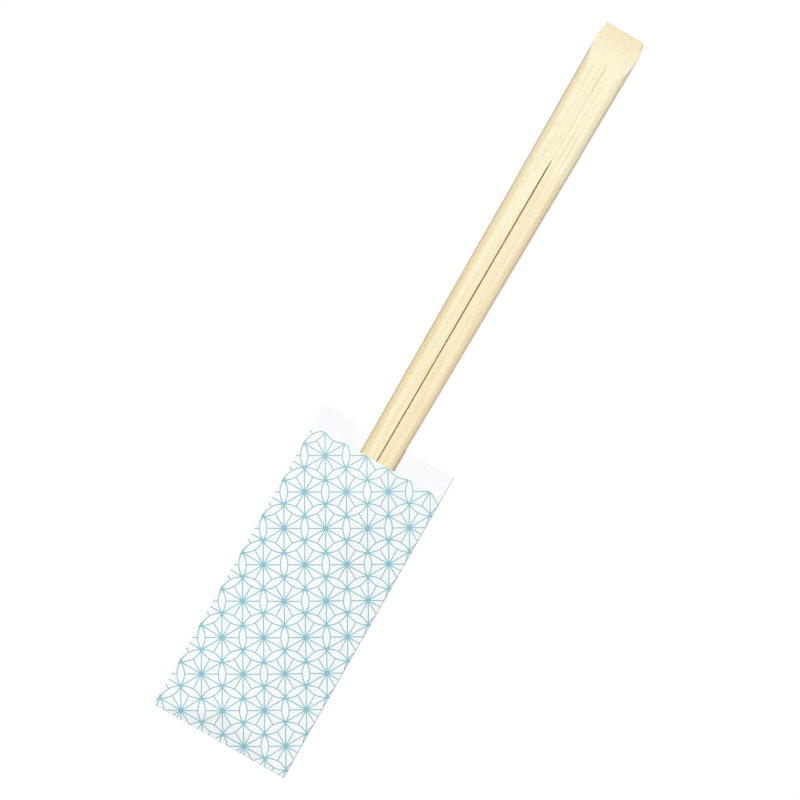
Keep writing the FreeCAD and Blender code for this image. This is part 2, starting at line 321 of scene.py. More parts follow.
@dataclass(frozen=True)
class BambooFinish:
    """Bare bleached bamboo: fibres along the stick, and the cut ends of them on the slope.

    The first colours are those of the wood, except the painted shade that fills the saw cut.
    Painted shade also darkens the score line, the edges of the saw cut and the sides. Spans are
    in millimetres from the head end or beside the axis, in shares of the way round the side, or
    in values of the noise.
    """

    axis_x: float
    head_y: float
    pale: Colour = srgb(255, 249, 222)
    warm: Colour = srgb(252, 242, 208)
    cut: Colour = srgb(249, 234, 198)
    # Painted shade: the dark brown that fills the saw cut stands in for the shade deep inside it.
    painted_slit_shade: Colour = srgb(150, 96, 40)
    stain: Colour = srgb(216, 170, 120)
    fibre: Grain = Grain((1.4, 0.02, 1.4), 4.0, 0.6)
    fleck: Grain = Grain((2.6, 0.9, 2.6), 3.0, 0.7)
    broad: Grain = Grain((0.45, 0.012, 0.45), 2.0, 0.5)
    mottle: Grain = Grain((1.1, 0.7, 1.1), 3.0, 0.6)
    bundle_scale: tuple[float, float, float] = (1.4, 0.035, 1.4)
    fibre_tone: Tone = Tone((0.935, 0.91, 0.84, 1.0), (0.36, 0.66))
    fleck_tone: Tone = Tone((0.935, 0.91, 0.85, 1.0), (0.4, 0.62))
    bundle_tone: Tone = Tone((0.92, 0.87, 0.76, 1.0), (0.3, 0.12))
    mottle_tone: Tone = Tone((0.97, 0.95, 0.91, 1.0), (0.42, 0.62))
    # The sides get a tone that is partly the wood's own yellower colour and partly painted shade;
    # the left, which faces the light, gets more of it.
    left_side_tint_and_shade: Tone = Tone((0.95, 0.905, 0.83, 1.0), (0.08, 0.36))
    right_side_tint_and_shade: Tone = Tone((1.0, 0.96, 0.92, 1.0), (0.08, 0.36))
    # Painted shade: grey darkening at the round nose of each side, where the surface turns away.
    nose_painted_shade: Tone = Tone((0.74, 0.72, 0.70, 1.0), (0.5, 0.9))
    ruddy_tone: Tone = Tone((0.998, 0.968, 0.945, 1.0), (40.0, 62.0))
    # Painted shade along the score line, darker than its shallow groove makes it.
    score_painted_shade: Tone = Tone((0.94, 0.93, 0.91, 1.0), (0.42, 0.06))
    # Painted shade: a brown fringe along both edges of the saw cut, which widens its dark line.
    slit_fringe_shade: Tone = Tone((0.93, 0.69, 0.30, 1.0), (0.42, 0.14))
    edge_tone: Tone = Tone((0.86, 0.82, 0.74, 1.0), (0.45, 0.05))
    warm_span: Span = (14.0, 134.0)
    broad_span: Span = (0.4, 0.65)
    cut_span: Span = (11.0, 0.0)
    score_start: Span = (10.4, 13.0)
    score_fade: Span = (44.0, 26.0)
    slit_fringe_start: Span = (44.5, 47.5)
    slit_fringe_fade: Span = (135.0, 75.0)
    stain_span: Span = (0.75, 0.1)
    stain_place: Point = (6.7, 1.3)
    rough_span: Span = (0.3, 0.7)
    broad_share: float = 0.12
    cut_least: float = 0.1
    cut_more: float = 0.75
    slope_loss: float = 0.6
    slit_fringe_least: float = 0.6
    slit_fringe_more: float = 0.3
    stain_share: float = 0.6
    stain_ragged: float = 1.2
    stain_squeeze: float = 0.5
    smoothest: float = 0.56
    rougher: float = 0.12
    relief: float = 0.06
    shine: float = 0.3

    def material(self, name: str) -> bpy.types.Material:
        """Makes the material.

        Args:
            name: Its name.

        Returns:
            The material.
        """
        made = bpy.data.materials.new(name)
        tree = Tree(made)
        place = tree.place()
        across, along, _ = tree.split(place)
        beside, down = across - self.axis_x, self.head_y - along
        fibre, fleck = tree.noise(place, self.fibre), tree.noise(place, self.fleck)
        broad, mottle = tree.noise(place, self.broad), tree.noise(place, self.mottle)
        bundles = tree.add("TexVoronoi", {"feature": "F1"}, {
            "Vector": tree.scaled(place, self.bundle_scale), "Scale": 1.0, "Randomness": 1.0})
        bundle = Signal(tree, bundles.outputs["Distance"])
        sloped, side, left = tree.stored("sloped"), tree.stored("side"), beside < 0.0
        colour = tree.blend(down.over(*self.warm_span), self.pale, self.warm)
        colour = tree.blend(broad.over(*self.broad_span) * self.broad_share, colour, self.warm)
        at_cut = down.over(*self.cut_span) * self.cut_more + self.cut_least
        colour = tree.blend(sloped * at_cut, colour, self.cut)
        # Where the painted shade of the score line shows: from the slope down to the saw cut.
        score_shade_share = down.over(*self.score_start) * down.over(*self.score_fade)
        # The painted shade beside the saw cut is strongest nearer the head and fainter further down.
        slit_fringe_share = down.over(*self.slit_fringe_fade) * self.slit_fringe_more + self.slit_fringe_least
        tones = [
            (self.fibre_tone, fibre, 1 - sloped * self.slope_loss),
            (self.fleck_tone, fleck, 1 - sloped * self.slope_loss),
            (self.bundle_tone, bundle, 1.0),
            (self.mottle_tone, mottle, sloped),
            # Partly the wood's yellower sides and partly painted shade, more on the left.
            (self.left_side_tint_and_shade, side, left),
            (self.right_side_tint_and_shade, side, 1 - left),
            # Painted shade at the nose of each side.
            (self.nose_painted_shade, side, 1.0),
            (self.ruddy_tone, down, 1 - left),
            (self.score_painted_shade, abs(beside), score_shade_share),
            (self.slit_fringe_shade, abs(beside), down.over(*self.slit_fringe_start) * slit_fringe_share),
            (self.edge_tone, down, 1.0),
        ]
        for tone, value, share in tones:
            colour = tree.blend(value.over(*tone.span) * share, colour, tone.colour, "MULTIPLY")
        colour = tree.blend(self.stained(beside, down, fleck), colour, self.stain)
        # Painted shade in the saw cut, fuller further down its walls.
        colour = tree.blend(tree.stored("slit_shade_share"), colour, self.painted_slit_shade)
        roughness = fibre.over(*self.rough_span) * self.rougher + self.smoothest
        height = fibre * 0.5 + fleck * 0.25 + sloped * mottle * 0.5
        tree.surface(colour, roughness, height, self.relief, self.shine)
        return made

    def stained(self, beside: Signal, down: Signal, fleck: Signal) -> Signal:
        """The share of the ragged stain at the worn corner, which is longer than wide."""
        out = (beside - self.stain_place[0]).reach((down - self.stain_place[1]) * self.stain_squeeze)
        return (out + (fleck - 0.5) * self.stain_ragged).over(*self.stain_span) * self.stain_share


@dataclass(frozen=True)
class StarLattice:
    """The print: six-sided stars of twelve rays, whose sides are narrow leaves of two arcs."""

    half_row: float = 12.75 / 2
    side: float = 12.75 / math.sqrt(3)
    first_across: float = -14.87
    first_along: float = 91.66
    skew: float = 0.002
    squeeze: float = 1.0018
    leaf_bulge: float = 0.155
    line: float = 0.30
    edge: float = 0.05
    blur: float = 0.02
    gain: float = 0.03
    middle_span: Span = (3.0917, 0.8833)
    corner_span: Span = (2.65, 0.7361)

    def from_star(self, across: Signal, along: Signal) -> tuple[Signal, Signal]:
        """The distances from the middle of the nearest star.

        Args:
            across: The place across the blank, in millimetres.
            along: The place up the blank, in millimetres.

        Returns:
            The distance across and the distance up, neither below 0.
        """
        half_column = 1.5 * self.side
        from_first = across - self.first_across
        up_first = (along - self.first_along) * self.squeeze
        x_even = (from_first + up_first * self.skew).fold(half_column)
        y_even = (up_first + from_first * self.skew).fold(self.half_row)
        x_odd, y_odd = half_column - x_even, self.half_row - y_even
        takes_even = x_even.reach(y_even) < x_odd.reach(y_odd)
        return takes_even * (x_even - x_odd) + x_odd, takes_even * (y_even - y_odd) + y_odd

    def draw(self, across: Signal, along: Signal) -> tuple[Signal, Signal, Signal]:
        """Draws the lattice.

        Args:
            across: The place across the blank, in millimetres.
            along: The place up the blank, in millimetres.

        Returns:
            Where the ink is, where the stars' facets are, and how near the place is where
            lines meet, each from 0 to 1.
        """
        x, y = self.from_star(across, along)
        to_side = (x * math.cos(math.pi / 6) + y * 0.5).most(y)
        out = x * x + y * y
        beside = (out - to_side * to_side).root()
        short, aside = self.half_row - to_side, self.side / 2 - beside
        corner = short.reach(aside)
        meeting = out.root().over(*self.middle_span).most(corner.over(*self.corner_span))
        inset = self.leaf_bulge * self.side
        radius = ((self.side / 2) ** 2 + inset ** 2) / (2 * inset)
        from_centre = (self.half_row - inset + radius) - to_side
        arc = from_centre.reach(beside) - radius
        facet = arc.over(-self.blur, self.blur)
        ray = beside + (1 - facet) * self.side
        spoke = abs(to_side * 0.5 - beside * math.cos(math.pi / 6))
        nearest = ray.least(spoke).least(abs(arc)) - meeting * self.gain
        ink = nearest.over(self.line / 2 + self.edge, self.line / 2 - self.edge)
        return ink, facet, meeting


class Side(Enum):
    """The material slots of the sheet of paper."""

    OUTSIDE = 0
    INSIDE = 1
    CUT_EDGE = 2


@dataclass(frozen=True)
class PaperFinish:
    """Thin bright paper, bare or printed with the lattice in one ink, with painted shade along its
    folds.

    The ink is fuller and bluer where lines meet, and a little thinner towards the mouth.
    """

    side: Side
    base: Colour = srgb(248, 253, 255)
    facet: Colour = srgb(245, 253, 254)
    ink: Colour = srgb(152, 177, 182)
    full_ink: Colour = srgb(136, 189, 202)
    spread: Colour = (0.93, 1.0, 1.0, 1.0)
    inside: Colour = srgb(249, 250, 253)
    cut_edge: Colour = srgb(232, 234, 238)
    # Painted shade along the folds and the lip's edges.
    fold_shade_tone: Colour = (0.6, 0.63, 0.64, 1.0)
    pulp: Grain = Grain((0.9, 0.7, 0.9), 5.0, 0.65)
    specks: Grain = Grain((4.5, 3.5, 4.5), 3.0, 0.6)
    pulp_tone: Tone = Tone((0.985, 0.985, 0.985, 1.0), (0.65, 0.35))
    taken_span: Span = (0.7, 0.3)
    thin_span: Span = (74.0, 98.0)
    ink_loss: float = 0.12
    roughness: float = 0.8
    relief: float = 0.05
    shine: float = 0.2
    lattice: StarLattice = StarLattice()

    def material(self, name: str) -> bpy.types.Material:
        """Makes the material.

        Args:
            name: Its name.

        Returns:
            The material.
        """
        made = bpy.data.materials.new(name)
        tree = Tree(made)
        place = tree.place()
        pulp, specks = tree.noise(place, self.pulp), tree.noise(place, self.specks)
        node = tree.add("Attribute", {"attribute_name": "blank"})
        across, along, fold_shade = tree.split(node.outputs["Vector"])
        if self.side is Side.OUTSIDE:
            ink, facet, meeting = self.lattice.draw(across, along)
            taken = specks.over(*self.taken_span) * self.ink_loss + (1 - self.ink_loss)
            taken = taken * (1 - along.over(*self.thin_span) * self.ink_loss)
            colour = tree.blend(facet, self.base, self.facet)
            colour = tree.blend(meeting, colour, self.spread, "MULTIPLY")
            wet = tree.blend(meeting, self.ink, self.full_ink)
            colour = tree.blend(ink * taken, colour, wet)
        else:
            colour = self.inside if self.side is Side.INSIDE else self.cut_edge
        cloud = self.pulp_tone
        colour = tree.blend(pulp.over(*cloud.span), colour, cloud.colour, "MULTIPLY")
        # Painted shade along the folds, strongest at the right fold, which faces away from the
        # light.
        colour = tree.blend(fold_shade, colour, self.fold_shade_tone, "MULTIPLY")
        height = pulp * 0.4 + specks * 0.2
        tree.surface(colour, self.roughness, height, self.relief, self.shine)
        return made


@dataclass(frozen=True)
class FloorFinish:
    """A white floor that keeps the soft shadow and shows white around it.

    Under the pair it isn't lifted to white, so that it stays dark where the saw cut shows it.
    """

    axis_x: float
    under_half: float = 2.0
    under_reach: float = 110.0
    diffuse: Colour = (0.9, 0.9, 0.9, 1.0)
    lift: float = 0.5
    shown: float = 1.13

    def material(self, name: str) -> bpy.types.Material:
        """Makes the material.

        Args:
            name: Its name.

        Returns:
            The material.
        """
        made = bpy.data.materials.new(name)
        tree = Tree(made)
        matt = tree.add("BsdfDiffuse", inputs={"Color": self.diffuse})
        glow = tree.add("Emission", inputs={"Strength": self.shown})
        across, along, _ = tree.split(tree.place())
        beside = abs(across - self.axis_x)
        covered = (beside < self.under_half) * (abs(along) < self.under_reach)
        seen = seen_directly(tree) * (1 - covered) * self.lift
        both = tree.add("MixShader", inputs={0: seen, 1: matt.outputs[0], 2: glow.outputs[0]})
        tree.add("OutputMaterial", inputs={"Surface": both.outputs[0]})
        return made


def seen_directly(tree: Tree) -> Signal:
    """1 for what the camera, a reflection or clear material sees, and 0 for the light it gives."""
    rays = tree.add("LightPath").outputs
    direct = Signal(tree, rays["Is Camera Ray"])
    return direct.most(rays["Is Glossy Ray"]).most(rays["Is Transmission Ray"])


# Mesh tools


def finish_mesh(item: bpy.types.Object, merge: float, sharp: float) -> None:
    """Welds and closes a mesh, turns its faces outwards and shades it between its sharp edges.

    Args:
        item: The mesh object.
        merge: Points closer than this are one, in millimetres.
        sharp: Edges that turn by more than this stay sharp, in degrees.
    """
    work = bmesh.new()
    work.from_mesh(item.data)
    bmesh.ops.remove_doubles(work, verts=work.verts, dist=merge * MM)
    bmesh.ops.dissolve_degenerate(work, edges=work.edges, dist=merge * MM)
    many = [face for face in work.faces if len(face.verts) > 4]
    bmesh.ops.triangulate(work, faces=many)
    open_edges = [edge for edge in work.edges if edge.is_boundary]
    bmesh.ops.holes_fill(work, edges=open_edges, sides=4)
    bmesh.ops.recalc_face_normals(work, faces=work.faces)
    work.to_mesh(item.data)
    work.free()
    item.data.shade_smooth()
    item.data.set_sharp_from_angle(angle=math.radians(sharp))


@dataclass
class Patchwork:
    """Collects points and faces, and values held at the points, for one mesh."""

    points: list[tuple[float, float, float]] = field(default_factory=list)
    faces: list[tuple[int, ...]] = field(default_factory=list)
    held: dict[str, list[Any]] = field(default_factory=dict)

    def point(self, x: float, y: float, z: float, **held: Any) -> int:
        """Adds a point, in millimetres.

        Args:
            x: Its place across.
            y: Its place along.
            z: Its height.
            held: The values that it holds.

        Returns:
            Its number.
        """
        self.points.append((x * MM, y * MM, z * MM))
        for name, value in held.items():
            self.held.setdefault(name, []).append(value)
        return len(self.points) - 1

    def weave(self, rows: Sequence[Sequence[int]], turned: bool = False) -> None:
        """Joins neighbouring rows of points with four-sided faces.

        Args:
            rows: Rows of point numbers, all of one length.
            turned: Whether the faces look the other way.
        """
        for low, high in zip(rows, rows[1:]):
            for i in range(len(low) - 1):
                face = (low[i], low[i + 1], high[i + 1], high[i])
                self.faces.append(face[::-1] if turned else face)

    def mesh(self, name: str) -> bpy.types.Object:
        """Makes the mesh object.

        Args:
            name: Its name.

        Returns:
            The object, in the scene.
        """
        data = bpy.data.meshes.new(name)
        data.from_pydata(self.points, [], self.faces)
        for key, values in self.held.items():
            vector = isinstance(values[0], tuple)
            kind = "FLOAT_VECTOR" if vector else "FLOAT"
            layer = data.attributes.new(key, kind, "POINT")
            layer.data.foreach_set("vector" if vector else "value",
                                   np.array(values, np.float32).ravel())
        return placed(name, data)


# The chopsticks


@dataclass(eq=False)
class Section:
    """Half of the blank's section: flat faces, eased shoulders and a round nose at the side."""

    width: float
    height: float
    side: float
    nose: float

    def __post_init__(self) -> None:
        """Works out the shoulders' radius, where they end, and the lengths along the side."""
        rise = (self.side - self.nose) ** 2 + self.height ** 2 / 4 - self.nose ** 2
        self.flat = self.width / 2 - self.side
        self.shoulder = rise / (self.height - 2 * self.nose)
        self.lean = math.atan2(self.shoulder - self.height / 2, self.side - self.nose)
        self.eased = self.shoulder * (math.pi / 2 - self.lean)
        self.rounded = 2 * self.nose * self.lean
        self.whole = 2 * self.eased + self.rounded

    def toward(self, other: "Section", share: float) -> "Section":
        """The section that lies this share of the way to the other one."""
        return Section(*(mix(a, b, share) for a, b in zip(astuple(self), astuple(other))))

    def at(self, travel: float) -> Point:
        """A point of the side.

        Args:
            travel: How far down the side it is, from the edge of the flat top.

        Returns:
            Its place across and its height.
        """
        if travel <= self.eased:
            turn, radius = math.pi / 2 - travel / self.shoulder, self.shoulder
            middle = (self.flat, self.height - radius)
        elif travel <= self.eased + self.rounded:
            turn, radius = self.lean - (travel - self.eased) / self.nose, self.nose
            middle = (self.width / 2 - radius, self.height / 2)
        else:
            radius = self.shoulder
            turn = -self.lean - (travel - self.eased - self.rounded) / radius
            middle = (self.flat, radius)
        return middle[0] + radius * math.cos(turn), middle[1] + radius * math.sin(turn)

    def travel(self, height: float) -> float:
        """How far down the side a height is, from the edge of the flat top.

        Args:
            height: The height.

        Returns:
            The length along the side.
        """
        low, high = 0.0, self.whole
        for _ in range(40):
            middle = (low + high) / 2
            low, high = (middle, high) if self.at(middle)[1] > height else (low, middle)
        return low


@dataclass
class ChopstickPair:
    """Two chopsticks still joined at the head: one tapered, sloped, scored and sawn blank.

    Lengths are in millimetres, and places along the blank are measured from its head end.
    """

    length: float = 240.0
    head: Section = Section(14.7, 4.8, 3.0, 1.6)
    tip: Section = Section(10.0, 4.0, 2.3, 1.4)
    axis_x: float = -0.7444
    head_y: float = 124.35
    underside: float = 0.2
    lip: float = 0.9
    slope_length: float = 13.7
    slope_blend: float = 25.0
    slope_exit: float = math.radians(3.0)
    corner_round: float = 1.9
    score_half: float = 0.2
    score_depth: float = 0.16
    score_rise: Span = (-0.4, 1.5)
    slit_start: float = 44.9
    slit_half: float = 0.16
    entry_share: float = 0.4
    entry_run: float = 6.0
    closed_share: float = 0.86
    closing: Span = (60.0, 140.0)
    saw_radius: float = 60.0
    saw_reach: float = 2.0
    edge_break: float = 0.14
    tip_break: float = 0.4
    edge_waves: Waves = ((0.012, 0.093, 1.0), (0.012, 0.237, 2.1), (0.004, 0.71, 3.3))
    right_phase: float = 0.4
    left_phase: float = 2.9
    slope_edge: Span = (0.12, 0.36)
    slit_shade: Span = (-0.1, 0.5)
    merge: float = 0.002
    sharp: float = 34.0
    wall_points: int = 5
    top_points: int = 12
    side_points: int = 30
    under_points: int = 6

    def __post_init__(self) -> None:
        """Works out the slope's line and blend, and where the saw's round end starts."""
        fall = (self.head.height - self.tip.height) / self.length
        slope_top = self.head.height - fall * self.slope_length
        self.grade = (slope_top - self.lip) / self.slope_length
        cosine = 1 / math.hypot(1, self.grade)
        rise = self.slope_blend * (math.cos(self.slope_exit) - cosine)
        run = self.slope_blend * (self.grade * cosine - math.sin(self.slope_exit))
        self.blend_start = self.slope_length - rise / self.grade
        self.blend_end = self.blend_start + run
        self.blend_middle = (self.blend_start + self.slope_blend * self.grade * cosine,
                             slope_top - rise - self.slope_blend * cosine)
        over_cut = self.saw_radius - self.saw_reach - (self.head.height - fall * self.slit_start)
        reach = math.sqrt(self.saw_radius ** 2 - over_cut ** 2)
        self.saw_start = self.slit_start + reach - self.saw_radius

    def top(self, along: float, height: float) -> float:
        """The height of the top face or of the slope.

        Args:
            along: The place along the blank.
            height: The blank's full height there.

        Returns:
            The height above the underside.
        """
        if along <= self.blend_start:
            return self.lip + self.grade * along
        if along >= self.blend_end:
            return height
        out = along - self.blend_middle[0]
        return min(height, self.blend_middle[1] + math.sqrt(self.slope_blend ** 2 - out ** 2))

    def saw_floor(self, along: float) -> float:
        """The height of the saw cut's floor, which is above the blank before the cut."""
        return taken_off(self.saw_radius, along - self.saw_start) - self.saw_reach

    def wander(self, along: float, phase: float) -> float:
        """How much a hand-finished edge has lost, from 0 to about 0.06, by its waves' phase."""
        return sum(size * (math.sin(rate * along + turns * phase) + 1)
                   for size, rate, turns in self.edge_waves)

    def stations(self) -> list[float]:
        """The places of the rings, closer together where the shape changes."""
        return [
            0.0, 0.04, 0.14,
            *(self.corner_round * (1 - math.cos(a * math.pi / 24)) for a in range(4, 13)),
            *np.arange(2.3, 18.0, 0.4), *np.arange(18.0, 44.0, 1.0), 44.4, 44.7,
            *np.arange(44.9, 58.0, 0.3), *np.arange(58.5, 238, 1.5), 238.6,
            self.length - self.tip_break, self.length - 0.2, self.length,
        ]

    def slit_points(self, along: float, top: float) -> tuple[list[Point], Point]:
        """The half ring's points in the score and the saw cut.

        Args:
            along: The place along the blank.
            top: The height of the top face there.

        Returns:
            The points from the middle up to the top face, and the point below them that ends
            the half ring.
        """
        score = self.score_depth * ease(*self.score_rise, along - self.blend_start)
        opened = ease(self.slit_start, self.slit_start + self.entry_run, along)
        slit = self.slit_half * mix(self.entry_share, 1.0, opened)
        slit *= mix(1.0, self.closed_share, ease(*self.closing, along))
        lip = top - score * (1 - slit / self.score_half)
        under_lip = self.score_depth * (1 - slit / self.score_half)
        floor = self.saw_floor(along)
        if floor > self.score_depth:
            first, wall_foot = (0.0, min(top - score, floor)), min(lip, floor)
            last = (0.0, self.score_depth)
        else:
            wall_foot = max(floor, under_lip)
            across = self.score_half * (1 - floor / self.score_depth)
            first = last = (across if floor > under_lip else slit, wall_foot)
        wall = [(slit, z) for z in np.linspace(wall_foot, lip, self.wall_points)]
        return [first, *wall], last

    def half_ring(self, along: float, right: bool) -> list[tuple[float, float, dict[str, float]]]:
        """One half of the ring at a station, from the slit's floor round to the underside.

        Args:
            along: The place along the blank.
            right: Whether it is the half with the worn corner.

        Returns:
            For each point, its place across, its height and what the finish reads there: how
            far it is on the slope, how much painted shade it gets in the slit, and how far
            round the side it is.
        """
        section = self.head.toward(self.tip, along / self.length)
        top = self.top(along, section.height)
        ring, last = self.slit_points(along, top)
        edge = section.travel(top) if top < section.height - 1e-6 else 0.0
        start = edge + self.edge_break
        corner, after = section.at(edge), section.at(start)
        inner = corner[0] - self.edge_break
        eased = (inner / 4 + corner[0] / 2 + after[0] / 4, top / 4 + corner[1] / 2 + after[1] / 4)
        ring += [(x, top) for x in np.linspace(self.score_half, inner, self.top_points + 1)]
        ring.append(eased)
        on_top = len(ring)
        travels = np.linspace(start, section.whole, self.side_points + 1)
        ring += [section.at(travel) for travel in travels]
        under = np.linspace(section.flat, self.score_half, self.under_points + 1)
        ring += [(x, 0.0) for x in under[1:]] + [last]
        lost = self.wander(along, self.right_phase if right else self.left_phase)
        limit = section.width / 2 - (taken_off(self.corner_round, along) if right else 0.0)
        inset = taken_off(self.edge_break, along)
        if along < self.edge_break:
            limit = min(limit, corner[0]) - inset
        from_tip = along - (self.length - self.tip_break)
        if from_tip > 0:
            inset, limit = from_tip, section.width / 2 - from_tip
        on_slope = 1 - ease(self.blend_start + 1.0, self.blend_end, along)
        made = []
        for i, (x, z) in enumerate(ring):
            x = min(x, limit) - lost * ease(section.flat - 1, section.width / 2, x)
            z = min(max(z, inset), max(top - inset, inset)) if inset else z
            sloped = on_slope * (1 if i < on_top else 1 - ease(*self.slope_edge, corner[1] - z))
            in_wall = i <= self.wall_points and along > self.slit_start
            # The share of painted shade, which grows down the saw cut's walls.
            painted_slit_shade = ease(*self.slit_shade, top - z) if in_wall else 0.0
            side = 0.0
            if on_top < i < on_top + len(travels):
                gone = travels[i - on_top]
                side = min(gone, section.whole - gone) * 2 / section.whole
            made.append((x, z, {"sloped": sloped, "slit_shade_share": painted_slit_shade, "side": side}))
        return made

    def build(self) -> None:
        """Builds the pair as one closed mesh."""
        work, halves = Patchwork(), []
        for hand in (1, -1):
            rows = []
            for along in self.stations():
                y = self.head_y - along
                rows.append([work.point(self.axis_x + hand * x, y, self.underside + z, **held)
                             for x, z, held in self.half_ring(along, hand > 0)])
            work.weave(rows, turned=hand < 0)
            halves.append(rows)
        right, left = halves
        work.faces += [tuple(right[0] + left[0][::-1]), tuple(right[-1]), tuple(left[-1])]
        self.item = work.mesh("joined_chopsticks")
        finish_mesh(self.item, self.merge, self.sharp)

    def dress(self) -> None:
        """Gives the pair its bamboo finish and its body, and hides the imported part that it stands
        in for.
        """
        finish = BambooFinish(self.axis_x, self.head_y)
        self.item.data.materials.append(finish.material("bare_bamboo"))
        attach(self.item, BODY)
        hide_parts("chopstick_pair")


# The paper sleeve


@dataclass
class PaperSleeve:
    """A flat bag of one sheet: folded at both sides, lapped at the back and closed by a flap.

    Lengths are in millimetres. Places across and along are the sleeve's own, measured from the
    middle of its bottom fold, and heights are those of the middle of the sheet.
    """

    origin: Point = (0.459, -124.346)
    turn: float = math.radians(0.5)
    paper: float = 0.1
    bottom_half: float = 22.85
    tip_half: float = 22.65
    mouth_half: float = 22.612
    tip_station: float = 8.3
    front_length: float = 97.8
    back_length: float = 105.2
    lap_half: float = 4.5
    flap_length: float = 10.0
    flap_inset: float = 1.5
    back_height: float = 0.15
    fold_radius: float = 0.1
    bottom_radius: float = 0.15
    tip_top: float = 4.30
    mouth_top: float = 4.597
    tip_bends: Point = (-4.431, 2.169)
    mouth_bends: Point = (-4.263, 3.563)
    bend_softness: float = 0.055
    bottom_softness: float = 0.12
    ramp_end: float = 7.8
    slack_waves: Waves = ((0.13, 0.31, 0.7), (0.071, -0.23, 2.2))
    slack_height: float = 0.05
    slack_drop: float = 0.6
    calm_span: Span = (4.0, 20.0)
    lap_step: float = 0.2
    joggle: float = 2.0
    lip_trim: float = 0.01
    # Painted shade at the folds: the right fold, away from the light, gets the most.
    fold_shade_width: float = 0.25
    left_fold_shade: float = 0.15
    right_fold_shade: float = 1.0
    bottom_fold_shade: float = 0.3
    merge: float = 0.001
    sharp: float = math.radians(50)
    columns: int = 96
    row_step: float = 0.475
    flap_gap: float = 0.1
    upper_rows: int = 90
    lip_steps: int = 8
    flap_steps: int = 11
    fold_steps: int = 6
    left_steps: int = 14
    lap_steps: int = 10
    right_steps: int = 24
    work: Patchwork = field(default_factory=Patchwork)

    def __post_init__(self) -> None:
        """Works out where the panels start above the bottom fold, and where their rows lie."""
        self.start = self.bottom_radius + self.paper / 2
        before, after = self.flap_length - self.flap_gap, self.flap_length + self.flap_gap
        lower = np.arange(self.start + self.fold_shade_width, before - 2 * self.flap_gap, self.row_step)
        upper = np.linspace(after + 8 * self.flap_gap, self.front_length, self.upper_rows)
        self.rows = [self.start, *lower, before, after, *upper]
        self.lip_rows = [*np.linspace(self.front_length, self.back_length, self.lip_steps + 1)]

    def half(self, along: float) -> float:
        """Half the sleeve's width, out to the outer faces of its side folds."""
        halves = (self.bottom_half, self.tip_half, self.mouth_half)
        return float(np.interp(along, (0.0, self.tip_station, self.front_length), halves))

    def fold_x(self, along: float) -> float:
        """Where a panel turns into the side fold."""
        return self.half(along) - self.fold_radius - self.paper / 2

    def front_height(self, across: float, along: float) -> float:
        """The height of the front panel, which lies over the sticks.

        Args:
            across: The place across.
            along: The place along.

        Returns:
            The height of the middle of the sheet.
        """
        low = self.back_height + 2 * self.fold_radius
        share = (along - self.tip_station) / (self.front_length - self.tip_station)
        top = mix(self.tip_top, self.mouth_top, share) - low
        left, right = (mix(a, b, share) for a, b in zip(self.tip_bends, self.mouth_bends))
        edge = self.fold_x(along)
        up_left = (across + edge) / (left + edge)
        up_right = (edge - across) / (edge - right)
        up_bottom = max((along - self.start) / (self.ramp_end - self.start), 0.0)
        up = soft_min(up_left, 1.0, self.bend_softness)
        up = soft_min(up, up_right, self.bend_softness)
        up = max(soft_min(up, up_bottom, self.bottom_softness), 0.0)
        slack = 4 * up * (1 - up) if up < 1 else 0.0
        slack *= ease(*self.calm_span, along)
        wave = sum(math.sin(rate * along + aside * across + phase)
                   for rate, aside, phase in self.slack_waves)
        return low + top * up + self.slack_height * slack * (wave - self.slack_drop)

    def fold_shaded(self, share: float, bottom: bool = False) -> float:
        """How much painted shade the sheet has at a fold, from 0 to 1, at a share of the way out to
        the right.
        """
        sides = {1: self.right_fold_shade, -1: self.left_fold_shade}
        return sides.get(share, self.bottom_fold_shade if bottom else 0.0)

    def build(self) -> None:
        """Builds the sleeve as one folded sheet with its true thickness, and puts it in place."""
        self.add_front()
        for hand in (-1, 1):
            self.add_fold(hand)
        self.add_left_back()
        self.add_right_back()
        for hand in (-1, 1):
            self.add_lip_edge(hand)
        self.item = self.work.mesh("folded_sleeve")
        place = Matrix.Translation((self.origin[0] * MM, self.origin[1] * MM, 0.0))
        self.item.data.transform(place @ Matrix.Rotation(self.turn, 4, "Z"))
        self.thicken()

    def add_front(self) -> None:
        """Adds the front panel, the bottom fold and the flap behind it."""
        start, sheet = self.start, []
        inner = 1 - self.fold_shade_width / self.fold_x(0)
        shares = [-1.0, *np.linspace(-inner, inner, self.columns + 1), 1.0]
        for along in np.linspace(self.flap_length, start, self.flap_steps + 1):
            drawn_in = self.flap_inset * (along - start) / (self.flap_length - start)
            edge = self.fold_x(0) - drawn_in
            sheet.append([
                self.work.point(s * edge, along, self.paper / 2, blank=(s * edge, -along, 0.0))
                for s in shares
            ])
        for i in range(1, self.fold_steps):
            angle = math.pi * i / self.fold_steps
            along = start - self.bottom_radius * math.sin(angle)
            height = start - self.bottom_radius * math.cos(angle)
            edge, flat = self.fold_x(start), mix(-start, start, i / self.fold_steps)
            sheet.append([
                self.work.point(s * edge, along, height,
                                blank=(s * edge, flat, self.fold_shaded(s, True)))
                for s in shares
            ])
        for along in self.rows:
            edge, lowest = self.fold_x(along), along == self.start
            sheet.append([
                self.work.point(s * edge, along, self.front_height(s * edge, along),
                                blank=(s * edge, along, self.fold_shaded(s, lowest)))
                for s in shares
            ])
        self.work.weave(sheet)

